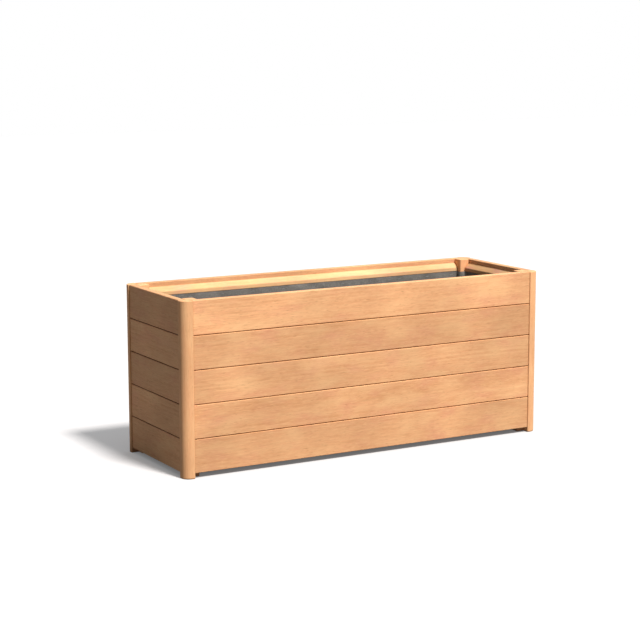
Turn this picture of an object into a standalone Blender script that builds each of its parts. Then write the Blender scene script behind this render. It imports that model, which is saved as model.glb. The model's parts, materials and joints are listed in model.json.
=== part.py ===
"""Hardwood planter box: boarded walls on four rebated corner posts, with a cloth liner.

The box stands on the floor at z = 0 with its centre on the origin. X runs along the long
walls and -Y is the front. Each wall is modelled in its own frame (x along the wall, y into
the box from the posts' outer face, z up), and each post in its corner's frame (x and y
along the two walls that meet there). All sizes are metres.
"""

import math
from typing import NamedTuple

import bmesh
import bpy
from mathutils import Matrix, Vector

# Overall size across the posts' outer faces
LENGTH = 1.200
WIDTH = 0.400

# Clearances: between touching pieces, at the boards' ends, round a screw or pin
SEAT = 0.0003
END_GAP = 0.0008
BORE_CLEARANCE = 0.0003

# Wall boards, tongue and groove
BOARD_ROWS = 5
BOARD_COVER = 0.097
BOARD_THICKNESS = 0.020
BOARD_SETBACK = 0.0028
BOARD_FACE_GAP = 0.0018
BOARD_CHAMFER = 0.0015
TONGUE_HEIGHT = 0.0065
TONGUE_THICKNESS = 0.006
TONGUE_TOP_CLEARANCE = 0.0008
GROUND_CLEARANCE = 0.015

# Corner posts
POST_SECTION = 0.056
POST_FACE = 0.0325
POST_RADIUS = 0.023
POST_ARC_STEPS = 10
POST_FOOT_EASE = 0.0035
ARRIS = 0.0015

# Finishing strips inside the rim, rebated below the front to take the cloth's hem
STRIP_DEPTH = 0.016
STRIP_DROP = 0.0135
STRIP_FALL = 0.0135
STRIP_FRONT = 0.0115
STRIP_TAIL = 0.024
STRIP_REBATE = 0.0024
STRIP_ARRIS = 0.001
STRIP_END_GAP = 0.0006

# Base: bearers on the lowest boards, slats across them
BEARER_WIDTH = 0.022
BEARER_HEIGHT = 0.034
BEARER_LIFT = 0.004
SLAT_WIDTH = 0.095
SLAT_THICKNESS = 0.018
SLAT_GAP = 0.010
SLAT_END_GAP = 0.002
TIMBER_CHAMFER = 0.0015

# Upright battens in the middle of the long walls
BATTEN_WIDTH = 0.045
BATTEN_THICKNESS = 0.018
BATTEN_DROP = 0.078

# Cloth liner
LINER_THICKNESS = 0.0015
LINER_HEM = 0.022
LINER_DROP = 0.045
LINER_FOLD_DEPTH = 0.006
LINER_FOLD_PITCH = 0.170
LINER_FOLD_POINTS = 4
LINER_CORNER_SLACK = 0.007
LINER_BATTEN_RAMP = 0.030
LINER_FLOOR_EASE = 0.012

# Screws and pins: each bites this far into the second piece
SCREW_RADIUS = 0.0022
SCREW_HEAD_RADIUS = 0.0046
SCREW_HEAD_SINK = 0.0008
SCREW_BITE = 0.012
SCREW_SIDES = 6
PIN_RADIUS = 0.0008
PIN_BITE = 0.010
PIN_SIDES = 5

# Where they are driven
BOARD_SCREW_LOW = 0.018
BOARD_SCREW_HIGH = 0.036
BEARER_SCREW_SPACING = 0.260
BEARER_SCREW_RISE = 0.011
PIN_SPACING = 0.240

# How far a cutter stands proud of the face that it cuts
CUT_MARGIN = 0.003

# Derived places
HEIGHT = GROUND_CLEARANCE + BOARD_ROWS * BOARD_COVER
BOARD_BACK = BOARD_SETBACK + BOARD_THICKNESS
SEATED = BOARD_BACK + SEAT
REBATE = SEATED
STRIP_TOP = HEIGHT - STRIP_DROP
STRIP_NOSE = STRIP_TOP - STRIP_FALL
STRIP_LIP = STRIP_NOSE - STRIP_FRONT
STRIP_FOOT = STRIP_LIP - STRIP_TAIL
HEM_SEAT = SEATED + STRIP_DEPTH - STRIP_REBATE
BEARER_FOOT = GROUND_CLEARANCE + BEARER_LIFT
SLAT_FOOT = BEARER_FOOT + BEARER_HEIGHT + SEAT
SLAT_TOP = SLAT_FOOT + SLAT_THICKNESS
LINER_FOOT = SLAT_TOP + SEAT
LINER_RIM = STRIP_LIP - SEAT
LINER_HEM_FOOT = LINER_RIM - LINER_HEM
BATTEN_FOOT = SLAT_TOP + SEAT
BATTEN_HEAD = HEIGHT - BATTEN_DROP
SCREW_LINE = (POST_FACE + POST_SECTION) / 2

DOWN = Vector((0, 0, -1))
TO_WALL = Vector((0, -1, 0))
TO_NEXT_WALL = Vector((-1, 0, 0))


class Finish(NamedTuple):
    """Colour (sRGB, 0 to 1), roughness and metallic value of a material."""

    colour: tuple
    roughness: float
    metallic: float = 0.0


BOARD_TIMBER = Finish((0.88, 0.67, 0.48), 0.55)
POST_TIMBER = Finish((0.90, 0.70, 0.51), 0.50)
STRIP_TIMBER = Finish((0.92, 0.76, 0.56), 0.55)
BASE_TIMBER = Finish((0.72, 0.53, 0.37), 0.70)
GEOTEXTILE = Finish((0.27, 0.28, 0.29), 0.95)


class Wall(NamedTuple):
    """One side of the box: its full span, the centre's distance to its face, its turn."""

    name: str
    span: float
    reach: float
    turn: float
    long: bool

    def frame(self):
        """The wall's own frame in the box."""
        return Matrix.Rotation(self.turn, 4, "Z") @ Matrix.Translation((0, -self.reach, 0))

    def board_length(self):
        """From post shoulder to post shoulder, less a gap at each end."""
        return self.span - 2 * (POST_FACE + END_GAP)

    def clear_half(self, gap):
        """Half the run between the posts' inner blocks, less a gap at the end."""
        return self.span / 2 - POST_SECTION - gap


class Corner(NamedTuple):
    """One corner of the box: which side and depth it is on, and its turn."""

    name: str
    side: int
    depth: int
    turn: float

    def frame(self):
        """The corner's frame in the box, both axes pointing along the walls."""
        place = Matrix.Translation((self.side * LENGTH / 2, self.depth * WIDTH / 2, 0))
        return place @ Matrix.Rotation(self.turn, 4, "Z")


QUARTER = math.pi / 2
WALLS = (
    Wall("front", LENGTH, WIDTH / 2, 0 * QUARTER, True),
    Wall("right", WIDTH, LENGTH / 2, 1 * QUARTER, False),
    Wall("back", LENGTH, WIDTH / 2, 2 * QUARTER, True),
    Wall("left", WIDTH, LENGTH / 2, 3 * QUARTER, False),
)
LONG_WALLS = tuple(wall for wall in WALLS if wall.long)
CORNERS = (
    Corner("front_left", -1, -1, 0 * QUARTER),
    Corner("front_right", 1, -1, 1 * QUARTER),
    Corner("back_right", 1, 1, 2 * QUARTER),
    Corner("back_left", -1, 1, 3 * QUARTER),
)


# Scene, objects and materials

def clear_scene():
    """Remove whatever the file opened with."""
    for obj in list(bpy.data.objects):
        bpy.data.objects.remove(obj, do_unlink=True)


def linear(channel):
    """One sRGB channel as the linear value that a shader takes."""
    return channel / 12.92 if channel <= 0.04045 else ((channel + 0.055) / 1.055) ** 2.4


def material(name, finish):
    """A Principled material of one finish."""
    made = bpy.data.materials.new(name)
    made.use_nodes = True
    shader = made.node_tree.nodes["Principled BSDF"]
    colour = tuple(linear(channel) for channel in finish.colour)
    shader.inputs["Base Color"].default_value = (*colour, 1.0)
    shader.inputs["Roughness"].default_value = finish.roughness
    shader.inputs["Metallic"].default_value = finish.metallic
    return made


def add_object(name, bm, finish=None, parent=None, place=None):
    """Turn a bmesh into a named object under its parent; a piece gets its own material."""
    mesh = bpy.data.meshes.new(name)
    bm.to_mesh(mesh)
    bm.free()
    obj = bpy.data.objects.new(name, mesh)
    bpy.context.scene.collection.objects.link(obj)
    obj.parent = parent
    if place is not None:
        obj.matrix_basis = place
    if finish is not None:
        mesh.materials.append(material(f"{name}_finish", finish))
    return obj


def add_frame(name, place):
    """An empty that pieces are parented to."""
    empty = bpy.data.objects.new(name, None)
    bpy.context.scene.collection.objects.link(empty)
    empty.matrix_basis = place
    return empty


def add_cutter(name, bm, parent=None):
    """An object that only shapes others."""
    obj = add_object(name, bm, parent=parent)
    obj.hide_render = True
    obj.display_type = "WIRE"
    return obj


def boolean(target, operand, operation):
    """Combine a hidden shape with a piece."""
    modifier = target.modifiers.new(operand.name, "BOOLEAN")
    modifier.operation = operation
    modifier.solver = "EXACT"
    modifier.object = operand


# Shapes

def draw_up(bm, section, travel):
    """Close a section's points into a face and draw it along a vector into a solid."""
    face = bm.faces.new([bm.verts.new(point) for point in section])
    grown = bmesh.ops.extrude_face_region(bm, geom=[face])
    moved = [item for item in grown["geom"] if isinstance(item, bmesh.types.BMVert)]
    bmesh.ops.translate(bm, vec=travel, verts=moved)
    bmesh.ops.recalc_face_normals(bm, faces=bm.faces)


def bar(profile, length):
    """A bar along X, centred on the origin, from a section of (y, z) points."""
    bm = bmesh.new()
    draw_up(bm, [(-length / 2, y, z) for y, z in profile], (length, 0, 0))
    return bm


def planed(y_low, y_high, z_low, z_high):
    """The section of a planed rail with its four long edges chamfered."""
    chamfer = TIMBER_CHAMFER
    return [
        (y_low + chamfer, z_low), (y_high - chamfer, z_low),
        (y_high, z_low + chamfer), (y_high, z_high - chamfer),
        (y_high - chamfer, z_high), (y_low + chamfer, z_high),
        (y_low, z_high - chamfer), (y_low, z_low + chamfer),
    ]


def ease(bm, edges, width, segments):
    """Bevel a set of edges."""
    bmesh.ops.bevel(
        bm, geom=edges, offset=width, segments=segments, profile=0.5,
        affect="EDGES", clamp_overlap=True,
    )


def end_edges(bm, level):
    """The edges round the flat end face that lies at one level."""
    on_level = SEAT / 10
    flat = [f for f in bm.faces if all(abs(v.co.z - level) < on_level for v in f.verts)]
    return list({edge for face in flat for edge in face.edges})


def turned(bm, profile, sides, place):
    """Turn a profile of (radius, height) points round Z and add it at its place.

    The profile starts and ends on the axis.
    """
    rings = []
    for radius, level in profile:
        if radius == 0:
            rings.append([bm.verts.new(place @ Vector((0, 0, level)))])
            continue
        angles = [2 * math.pi * step / sides for step in range(sides)]
        points = [Vector((radius * math.cos(a), radius * math.sin(a), level)) for a in angles]
        rings.append([bm.verts.new(place @ point) for point in points])
    for upper, lower in zip(rings, rings[1:]):
        for step in range(sides):
            after = (step + 1) % sides
            if len(upper) == 1:
                bm.faces.new((upper[0], lower[step], lower[after]))
            elif len(lower) == 1:
                bm.faces.new((upper[step], lower[0], upper[after]))
            else:
                bm.faces.new((upper[step], lower[step], lower[after], upper[after]))


def spread(half, spacing):
    """Places along a run, about one spacing apart, half a step in from each end."""
    count = max(2, round(2 * half / spacing))
    step = 2 * half / count
    return [step * (index + 0.5) - half for index in range(count)]


def evenly(low, high, steps):
    """Places from one end to the other, both ends among them."""
    return [low + (high - low) * index / steps for index in range(steps + 1)]


# Screws and pins

class Fixing(NamedTuple):
    """A screw or pin, driven through one piece (its carrier) into a second one.

    Its profiles hang below the carrier's face at z = 0, down through a carrier of the
    clamped thickness. It is made as one with its carrier, and the second piece is bored.
    """

    radius: float
    head_radius: float
    head_sink: float
    bite: float
    sides: int

    def reach(self, clamped):
        """From the carrier's face to the point."""
        return clamped + SEAT + self.bite

    def recess(self):
        """The shallow round recess over a sunk head."""
        wide, deep = self.head_radius, -self.head_sink
        return [(0, CUT_MARGIN), (wide, CUT_MARGIN), (wide, deep), (0, deep)]

    def shank(self, clamped):
        """The shank from inside the carrier to its point in the second piece."""
        end = self.reach(clamped)
        taper = min(self.bite / 2, 2 * self.radius)
        start = -clamped / 2
        return [(0, start), (self.radius, start), (self.radius, taper - end), (0, -end)]

    def bore(self, clamped):
        """The hole in the second piece, one clearance wider and deeper than the shank."""
        wide = self.radius + BORE_CLEARANCE
        deep = -self.reach(clamped) - BORE_CLEARANCE
        start = CUT_MARGIN - clamped
        return [(0, start), (wide, start), (wide, deep), (0, deep)]


SCREW = Fixing(SCREW_RADIUS, SCREW_HEAD_RADIUS, SCREW_HEAD_SINK, SCREW_BITE, SCREW_SIDES)
PIN = Fixing(PIN_RADIUS, 0.0, 0.0, PIN_BITE, PIN_SIDES)


def driven(x, y, z, direction):
    """Place of a fixing with its head at a point, driven in one direction."""
    turn = DOWN.rotation_difference(direction).to_matrix().to_4x4()
    return Matrix.Translation((x, y, z)) @ turn


def turned_cutter(name, places, profile, sides, parent=None):
    """One hidden object of a turned shape repeated at several places."""
    bm = bmesh.new()
    for place in places:
        turned(bm, profile, sides, place)
    bmesh.ops.recalc_face_normals(bm, faces=bm.faces)
    return add_cutter(name, bm, parent)


def drive(carrier, places, fixing, clamped):
    """Set fixings in their carrier; the places are in the carrier's parent's frame."""
    if fixing.head_radius > 0:
        name = f"{carrier.name}_recesses"
        profile = fixing.recess()
        recesses = turned_cutter(name, places, profile, fixing.sides, carrier.parent)
        boolean(carrier, recesses, "DIFFERENCE")
    name = f"{carrier.name}_shanks"
    profile = fixing.shank(clamped)
    shanks = turned_cutter(name, places, profile, fixing.sides, carrier.parent)
    boolean(carrier, shanks, "UNION")


def bores(name, places, fixing, clamped):
    """The holes that one kind of fixing leaves in the pieces behind its carriers."""
    return turned_cutter(name, places, fixing.bore(clamped), fixing.sides)


def board_screw_places():
    """In a corner's frame: two crossing sets, one above the other, so that they pass clear."""
    places = []
    for row in range(BOARD_ROWS):
        low = row_foot(row) + BOARD_SCREW_LOW
        high = row_foot(row) + BOARD_SCREW_HIGH
        places.append(driven(SCREW_LINE, POST_SECTION, low, TO_WALL))
        places.append(driven(POST_SECTION, SCREW_LINE, high, TO_NEXT_WALL))
    return places


def bearer_screw_places(wall):
    """In a wall's frame: low along its bearer, clear of the slats' screws."""
    half = wall.clear_half(END_GAP)
    level = BEARER_FOOT + BEARER_SCREW_RISE
    face = SEATED + BEARER_WIDTH
    return [driven(x, face, level, TO_WALL) for x in spread(half, BEARER_SCREW_SPACING)]


def slat_screw_places(centre):
    """One at each end of a slat, down into the long bearers."""
    reach = WIDTH / 2 - SEATED - BEARER_WIDTH / 2
    return [driven(centre, side * reach, SLAT_TOP, DOWN) for side in (-1, 1)]


def batten_screw_places():
    """In a long wall's frame: one for each board, halfway up its part behind the batten."""
    face = SEATED + BATTEN_THICKNESS
    places = []
    for row in range(BOARD_ROWS):
        low = max(row_foot(row), BATTEN_FOOT)
        high = min(row_foot(row + 1), BATTEN_HEAD)
        if high - low > 3 * SCREW_HEAD_RADIUS:
            places.append(driven(0, face, (low + high) / 2, TO_WALL))
    return places


def strip_pin_places(wall):
    """In a wall's frame: along its strip, in the middle of the upright front."""
    half = wall.clear_half(STRIP_END_GAP)
    level = STRIP_LIP + STRIP_FRONT / 2
    face = SEATED + STRIP_DEPTH
    return [driven(x, face, level, TO_WALL) for x in spread(half, PIN_SPACING)]


def all_bores():
    """Every kind of hole in the pieces that fixings are driven into, by the fixing's name."""
    posts = [corner.frame() @ at for corner in CORNERS for at in board_screw_places()]
    bearers = [wall.frame() @ at for wall in WALLS for at in bearer_screw_places(wall)]
    slats = [at for centre in slat_centres() for at in slat_screw_places(centre)]
    battens = [wall.frame() @ at for wall in LONG_WALLS for at in batten_screw_places()]
    strips = [wall.frame() @ at for wall in WALLS for at in strip_pin_places(wall)]
    return {
        "board_screws": bores("board_screw_bores", posts, SCREW, POST_SECTION - REBATE),
        "bearer_screws": bores("bearer_screw_bores", bearers, SCREW, BEARER_WIDTH),
        "slat_screws": bores("slat_screw_bores", slats, SCREW, SLAT_THICKNESS),
        "batten_screws": bores("batten_screw_bores", battens, SCREW, BATTEN_THICKNESS),
        "strip_pins": bores("strip_pin_bores", strips, PIN, STRIP_DEPTH),
    }


# Corner posts

def post_outline():
    """The post's section: a rounded outer corner at the origin and a rebate on two sides."""
    arc = []
    for step in range(POST_ARC_STEPS + 1):
        angle = math.pi + QUARTER * step / POST_ARC_STEPS
        x = POST_RADIUS * (1 + math.cos(angle))
        y = POST_RADIUS * (1 + math.sin(angle))
        arc.append((x, y, 0.0))
    return arc + [
        (POST_FACE, 0.0, 0.0), (POST_FACE, REBATE, 0.0), (POST_SECTION, REBATE, 0.0),
        (POST_SECTION, POST_SECTION, 0.0), (REBATE, POST_SECTION, 0.0),
        (REBATE, POST_FACE, 0.0), (0.0, POST_FACE, 0.0),
    ]


def post_mesh():
    """The section drawn up to the rim, its arrises eased and its foot rounded."""
    bm = bmesh.new()
    draw_up(bm, post_outline(), (0, 0, HEIGHT))
    bm.normal_update()
    arris_angle = math.radians(40)
    upright = []
    for edge in bm.edges:
        rise = abs(edge.verts[1].co.z - edge.verts[0].co.z)
        if rise > HEIGHT / 2 and edge.is_convex and edge.calc_face_angle() > arris_angle:
            upright.append(edge)
    ease(bm, upright, ARRIS, 1)
    ease(bm, end_edges(bm, HEIGHT), ARRIS, 1)
    ease(bm, end_edges(bm, 0.0), POST_FOOT_EASE, 2)
    return bm


def build_posts():
    """Four posts of one section, each with the screws that hold the boards' ends."""
    for corner in CORNERS:
        parent = add_frame(f"{corner.name}_corner", corner.frame())
        post = add_object(f"post_{corner.name}", post_mesh(), POST_TIMBER, parent)
        post.data.shade_smooth()
        post.data.set_sharp_from_angle(angle=math.radians(25))
        drive(post, board_screw_places(), SCREW, POST_SECTION - REBATE)


# Wall boards

def row_foot(row):
    """Height of a board's lower shoulder above the floor."""
    return GROUND_CLEARANCE + row * BOARD_COVER


def board_profile(row):
    """Section of one board: a groove below unless it is the lowest, a tongue above."""
    lowest = row == 0
    highest = row == BOARD_ROWS - 1
    front, back = BOARD_SETBACK, BOARD_BACK
    middle = (front + back) / 2
    high = BOARD_COVER if highest else BOARD_COVER - BOARD_FACE_GAP
    below = ARRIS if lowest else BOARD_CHAMFER
    above = ARRIS if highest else BOARD_CHAMFER
    points = [(front, high - above), (front, below), (front + below, 0.0)]
    if not lowest:
        half = TONGUE_THICKNESS / 2 + SEAT
        depth = TONGUE_HEIGHT - BOARD_FACE_GAP + TONGUE_TOP_CLEARANCE
        points += [(middle - half, 0.0), (middle - half, depth)]
        points += [(middle + half, depth), (middle + half, 0.0)]
    points += [(back - below, 0.0), (back, below), (back, high - above), (back - above, high)]
    if not highest:
        half = TONGUE_THICKNESS / 2
        tip = high + TONGUE_HEIGHT
        points += [(middle + half, high), (middle + half, tip)]
        points += [(middle - half, tip), (middle - half, high)]
    return points + [(front + above, high)]


def build_boards(wall, parent, holes):
    """The wall's boards, stacked tongue into groove between the posts' shoulders."""
    for row in range(BOARD_ROWS):
        name = f"{wall.name}_board_{row + 1}"
        place = Matrix.Translation((0, 0, row_foot(row)))
        bm = bar(board_profile(row), wall.board_length())
        board = add_object(name, bm, BOARD_TIMBER, parent, place)
        boolean(board, holes["board_screws"], "DIFFERENCE")
        if row == 0:
            boolean(board, holes["bearer_screws"], "DIFFERENCE")
        if wall.long:
            boolean(board, holes["batten_screws"], "DIFFERENCE")
        if row == BOARD_ROWS - 1:
            boolean(board, holes["strip_pins"], "DIFFERENCE")


# Finishing strips

def strip_profile():
    """Section of a strip: flat back on the board, sloped top, upright front, set-back tail."""
    front = SEATED + STRIP_DEPTH
    slope = Vector((STRIP_DEPTH, -STRIP_FALL)).normalized()
    over_nose = Vector((front, STRIP_NOSE)) - slope * STRIP_ARRIS
    return [
        (SEATED, STRIP_FOOT), (HEM_SEAT - STRIP_ARRIS, STRIP_FOOT),
        (HEM_SEAT, STRIP_FOOT + STRIP_ARRIS), (HEM_SEAT, STRIP_LIP),
        (front - STRIP_ARRIS, STRIP_LIP), (front, STRIP_LIP + STRIP_ARRIS),
        (front, STRIP_NOSE - STRIP_ARRIS), (over_nose.x, over_nose.y), (SEATED, STRIP_TOP),
    ]


def build_strip(wall, parent):
    """The strip between the posts' inner blocks, pinned to the top board."""
    bm = bar(strip_profile(), 2 * wall.clear_half(STRIP_END_GAP))
    strip = add_object(f"{wall.name}_rim_strip", bm, STRIP_TIMBER, parent)
    drive(strip, strip_pin_places(wall), PIN, STRIP_DEPTH)


# Base

def build_bearer(wall, parent, holes):
    """A rail along the foot of the wall, screwed to the lowest board."""
    top = BEARER_FOOT + BEARER_HEIGHT
    section = planed(SEATED, SEATED + BEARER_WIDTH, BEARER_FOOT, top)
    bm = bar(section, 2 * wall.clear_half(END_GAP))
    bearer = add_object(f"{wall.name}_bearer", bm, BASE_TIMBER, parent)
    if wall.long:
        boolean(bearer, holes["slat_screws"], "DIFFERENCE")
    drive(bearer, bearer_screw_places(wall), SCREW, BEARER_WIDTH)


def slat_centres():
    """Places of the slats along the box, spread from end wall to end wall."""
    half = LENGTH / 2 - BOARD_BACK - SLAT_END_GAP
    count = max(3, round((2 * half + SLAT_GAP) / (SLAT_WIDTH + SLAT_GAP)))
    return evenly(-half + SLAT_WIDTH / 2, half - SLAT_WIDTH / 2, count - 1)


def notch_cutter():
    """Four blocks, one round each post's inner block, that notch the end slats."""
    bm = bmesh.new()
    size = POST_SECTION + SLAT_END_GAP
    low = SLAT_FOOT - CUT_MARGIN
    height = SLAT_THICKNESS + 2 * CUT_MARGIN
    middle = Matrix.Translation((size / 2, size / 2, low + height / 2))
    block = middle @ Matrix.Diagonal((size, size, height, 1))
    for corner in CORNERS:
        bmesh.ops.create_cube(bm, size=1.0, matrix=corner.frame() @ block)
    return add_cutter("slat_notches", bm)


def build_slats():
    """Slats across the bearers, the two at the ends notched round the posts."""
    notches = notch_cutter()
    centres = slat_centres()
    length = WIDTH - 2 * (BOARD_BACK + SLAT_END_GAP)
    across = Matrix.Rotation(QUARTER, 4, "Z")
    for index, centre in enumerate(centres):
        section = planed(-SLAT_WIDTH / 2, SLAT_WIDTH / 2, 0.0, SLAT_THICKNESS)
        place = Matrix.Translation((centre, 0, SLAT_FOOT)) @ across
        name = f"base_slat_{index + 1:02d}"
        slat = add_object(name, bar(section, length), BASE_TIMBER, place=place)
        if index in (0, len(centres) - 1):
            boolean(slat, notches, "DIFFERENCE")
        drive(slat, slat_screw_places(centre), SCREW, SLAT_THICKNESS)


# Battens

def build_batten(wall, parent):
    """An upright in the middle of a long wall, standing on the slats."""
    height = BATTEN_HEAD - BATTEN_FOOT
    section = planed(-BATTEN_WIDTH / 2, BATTEN_WIDTH / 2, SEATED, SEATED + BATTEN_THICKNESS)
    upright = Matrix(((0, 1, 0, 0), (0, 0, 1, 0), (1, 0, 0, 0), (0, 0, 0, 1)))
    place = Matrix.Translation((0, 0, BATTEN_FOOT + height / 2)) @ upright
    bm = bar(section, height)
    batten = add_object(f"{wall.name}_batten", bm, BASE_TIMBER, parent, place)
    drive(batten, batten_screw_places(), SCREW, BATTEN_THICKNESS)


# Liner

def smooth(share):
    """Ease from 0 to 1."""
    share = min(1.0, max(0.0, share))
    return share * share * (3 - 2 * share)


class Column(NamedTuple):
    """One upright line of the cloth: its foot in plan, its way inward, how it hangs."""

    x: float
    y: float
    inward: tuple
    kind: str
    fold: float = 0.0

    def standoff(self, level):
        """How far the cloth stands off along the wall and into the box, at one height."""
        if self.kind == "arris":
            return 0.0, 0.0
        hem = HEM_SEAT - SEATED + SEAT
        if self.kind == "batten":
            over = level < BATTEN_HEAD + 2 * SEAT
            return 0.0, BATTEN_THICKNESS + SEAT if over else hem
        floor_ease = LINER_FLOOR_EASE * smooth(1 - (level - LINER_FOOT) / LINER_FLOOR_EASE)
        hung = hem * min(1.0, (level - LINER_FOOT) / (LINER_HEM_FOOT - LINER_FOOT))
        loose = smooth((LINER_HEM_FOOT - level) / LINER_DROP)
        if self.kind == "corner":
            slack = max(LINER_CORNER_SLACK * loose, floor_ease)
            return slack, max(hung, slack)
        return 0.0, max(hung + LINER_FOLD_DEPTH * self.fold * loose, floor_ease)


def free_columns(low, high):
    """The cloth between two held places, in soft upright folds."""
    folds = max(1, round((high - low) / LINER_FOLD_PITCH))
    columns = []
    for x in evenly(low, high, folds * LINER_FOLD_POINTS):
        depth = 0.5 - 0.5 * math.cos(2 * math.pi * folds * (x - low) / (high - low))
        columns.append(Column(x, SEATED, (0, 1), "run", depth))
    return columns


def wall_columns(wall):
    """One wall's share of the cloth, from the post's inner arris at its left end.

    The arris at its right end is the next wall's first column.
    """
    half = wall.clear_half(SEAT)
    columns = [Column(-half, POST_SECTION + SEAT, (1, 1), "arris")]
    columns.append(Column(-half, SEATED, (1, 1), "corner"))
    if wall.long:
        edge = BATTEN_WIDTH / 2 + SEAT
        clear = edge + LINER_BATTEN_RAMP
        columns += free_columns(-half, -clear)[1:]
        columns.append(Column(-edge, SEATED, (0, 1), "batten"))
        columns.append(Column(edge, SEATED, (0, 1), "batten"))
        columns += free_columns(clear, half)[:-1]
    else:
        columns += free_columns(-half, half)[1:-1]
    columns.append(Column(half, SEATED, (-1, 1), "corner"))
    return columns


def liner_levels():
    """Heights of the liner's rings, from its floor to its rim."""
    over_batten = BATTEN_HEAD + SEAT
    low = LINER_FOOT + LINER_FLOOR_EASE
    middle = (low + over_batten) / 2
    ramp = (over_batten + LINER_HEM_FOOT) / 2
    return [LINER_FOOT, low, middle, over_batten, ramp, LINER_HEM_FOOT, LINER_RIM]


def liner_ring(bm, shape_level, level, thickness):
    """One closed ring of the liner's wall: its form at one level, set at another."""
    ring = []
    for wall in WALLS:
        for column in wall_columns(wall):
            along, into = column.standoff(shape_level)
            x = column.x + column.inward[0] * (along + thickness)
            y = column.y + column.inward[1] * (into + thickness)
            ring.append(bm.verts.new(wall.frame() @ Vector((x, y, level))))
    return ring


def skin(bm, lower, upper):
    """Faces between two rings."""
    count = len(lower)
    for index in range(count):
        after = (index + 1) % count
        bm.faces.new((lower[index], lower[after], upper[after], upper[index]))


def build_liner():
    """An open cloth bag: an outer skin, an inner skin one thickness in, joined at the rim."""
    bm = bmesh.new()
    levels = liner_levels()
    inner_levels = [LINER_FOOT + LINER_THICKNESS] + levels[1:]
    outer = [liner_ring(bm, level, level, 0.0) for level in levels]
    inner = [
        liner_ring(bm, shape, level, LINER_THICKNESS)
        for shape, level in zip(levels, inner_levels)
    ]
    for rings in (outer, inner):
        for lower, upper in zip(rings, rings[1:]):
            skin(bm, lower, upper)
        bm.faces.new(rings[0])
    skin(bm, outer[-1], inner[-1])
    bmesh.ops.recalc_face_normals(bm, faces=bm.faces)
    add_object("liner", bm, GEOTEXTILE)


# The whole box

def build():
    """Build every piece."""
    clear_scene()
    holes = all_bores()
    build_posts()
    for wall in WALLS:
        parent = add_frame(f"{wall.name}_wall", wall.frame())
        build_boards(wall, parent, holes)
        build_strip(wall, parent)
        build_bearer(wall, parent, holes)
        if wall.long:
            build_batten(wall, parent)
    build_slats()
    build_liner()


build()
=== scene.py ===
"""Looks of a hardwood planter box: oiled boards between rounded posts, and a cloth liner.

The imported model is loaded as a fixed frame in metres, z up, with the front towards -Y.
Its timber pieces stay and are dressed. The cloth liner is cut, hung and settled here,
and the small metal that holds the box together is modelled here.
"""

import json
import logging
import math
import random
from collections.abc import Callable, Sequence
from dataclasses import dataclass, field, replace
from enum import Enum

import bpy
import numpy as np
from mathutils import Matrix, Vector

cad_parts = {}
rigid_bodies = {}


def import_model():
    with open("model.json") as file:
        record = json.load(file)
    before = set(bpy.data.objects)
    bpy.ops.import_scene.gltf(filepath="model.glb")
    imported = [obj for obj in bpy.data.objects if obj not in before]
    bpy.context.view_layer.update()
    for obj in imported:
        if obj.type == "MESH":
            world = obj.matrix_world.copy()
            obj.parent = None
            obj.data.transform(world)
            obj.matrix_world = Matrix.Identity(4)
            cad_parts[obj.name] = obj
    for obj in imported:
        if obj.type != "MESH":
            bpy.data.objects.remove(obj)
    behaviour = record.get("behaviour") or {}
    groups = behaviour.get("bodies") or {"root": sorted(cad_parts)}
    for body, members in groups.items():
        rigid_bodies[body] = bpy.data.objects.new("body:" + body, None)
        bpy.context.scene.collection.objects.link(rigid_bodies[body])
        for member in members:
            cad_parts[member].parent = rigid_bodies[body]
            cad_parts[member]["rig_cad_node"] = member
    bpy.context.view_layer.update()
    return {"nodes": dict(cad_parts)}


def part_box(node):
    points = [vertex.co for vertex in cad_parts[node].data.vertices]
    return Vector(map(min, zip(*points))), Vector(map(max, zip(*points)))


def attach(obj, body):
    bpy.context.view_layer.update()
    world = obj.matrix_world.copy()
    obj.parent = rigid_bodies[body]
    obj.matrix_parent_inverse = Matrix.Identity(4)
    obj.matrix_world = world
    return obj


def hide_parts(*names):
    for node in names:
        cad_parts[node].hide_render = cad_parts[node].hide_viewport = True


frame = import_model()

LOG = logging.getLogger("planter_box")
BODY = "root"
MILLIMETRE = 0.001

# Sockets of a Mix node that mixes colours
MIX_A = 6
MIX_B = 7
MIX_RESULT = 2

# Least cosine of a face that looks a given way, and of a run that counts as straight
FACING = 0.9
STRAIGHT = 0.999

Piece = bpy.types.Object
Node = bpy.types.Node
Tree = bpy.types.NodeTree
Socket = bpy.types.NodeSocket
Colour = tuple[float, float, float, float]
Point = tuple[float, float, float]


def linear(code: str) -> Colour:
    """Turn an sRGB hex colour into the linear colour that a shader takes.

    Args:
        code: Six hex digits, such as "e8ac7d".

    Returns:
        Red, green, blue and an alpha of one.
    """
    channels = [int(code[at : at + 2], 16) / 255 for at in (0, 2, 4)]
    curved = [c / 12.92 if c <= 0.04045 else ((c + 0.055) / 1.055) ** 2.4 for c in channels]
    return (*curved, 1.0)


def wire(tree: Tree, node: Node, inputs: dict[str | int, object]) -> None:
    """Set or link a node's inputs.

    Args:
        tree: The node tree of a material or of the world.
        node: The node.
        inputs: Sockets by name or number, each with a value or the output that feeds it.
    """
    for key, value in inputs.items():
        if isinstance(value, Socket):
            tree.links.new(value, node.inputs[key])
        else:
            node.inputs[key].default_value = value


def add(tree: Tree, kind: str, inputs: dict[str | int, object], **settings: object) -> Node:
    """Add a node, set it up and wire its inputs.

    Args:
        tree: The node tree of a material or of the world.
        kind: The node's type, without its "ShaderNode" prefix.
        inputs: Its inputs, as wire takes them.
        settings: The node's own properties.

    Returns:
        The new node.
    """
    node = tree.nodes.new(f"ShaderNode{kind}")
    for key, value in settings.items():
        setattr(node, key, value)
    wire(tree, node, inputs)
    return node


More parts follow.
